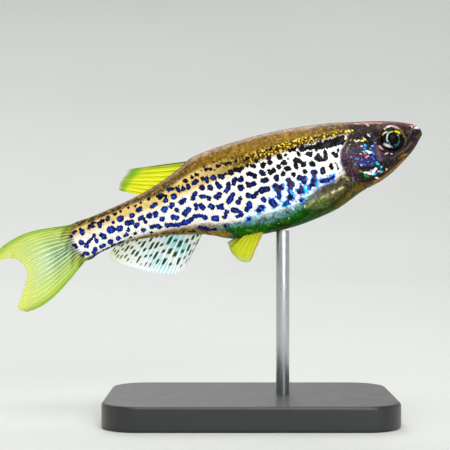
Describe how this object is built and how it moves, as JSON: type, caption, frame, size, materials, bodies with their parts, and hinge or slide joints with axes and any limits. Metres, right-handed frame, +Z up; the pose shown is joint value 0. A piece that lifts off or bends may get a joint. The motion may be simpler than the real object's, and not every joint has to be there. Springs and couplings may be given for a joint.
{
  "type": "leopard danio, the spotted form of the zebra danio",
  "caption": "Life-size still model of a spotted zebra danio swimming with its head raised, on a small display stand with one rod.",
  "frame": {"origin": "centre of the underside of the stand's base", "axes": "+X the way the fish heads, +Y to the fish's left, +Z up"},
  "size_m": [0.0432, 0.018, 0.0291],
  "materials": {
    "skin": "wet, scaled, dark spots on silver and gold",
    "barbel": "wet",
    "eye": "glossy, black pupil in a dark iris with a pale ring",
    "dorsal_fin": "translucent yellow-green membrane with dark rays",
    "anal_fin": "translucent silvery membrane with dark dashes",
    "tail_fin": "translucent membrane with yellow-green edges",
    "pectoral_fin": "clear membrane with pale rays",
    "pelvic_fin": "translucent yellow-green membrane",
    "stand_base": "satin black",
    "stand_rod": "satin"
  },
  "bodies": {
    "root": {"head": "skin", "lower_jaw": "skin", "gill_cover_right": "skin", "gill_cover_left": "skin", "trunk_front": "skin", "trunk_rear": "skin", "tail_stalk": "skin", "snout_barbel_right": "barbel", "snout_barbel_left": "barbel", "mouth_barbel_right": "barbel", "mouth_barbel_left": "barbel", "eye_right": "eye", "eye_left": "eye", "dorsal_fin": "dorsal_fin", "anal_fin": "anal_fin", "caudal_fin_upper": "tail_fin", "caudal_fin_lower": "tail_fin", "pectoral_fin_right": "pectoral_fin", "pectoral_fin_left": "pectoral_fin", "pelvic_fin_right": "pelvic_fin", "pelvic_fin_left": "pelvic_fin", "stand_base": "stand_base", "stand_rod": "stand_rod"}
  },
  "joints": []
}
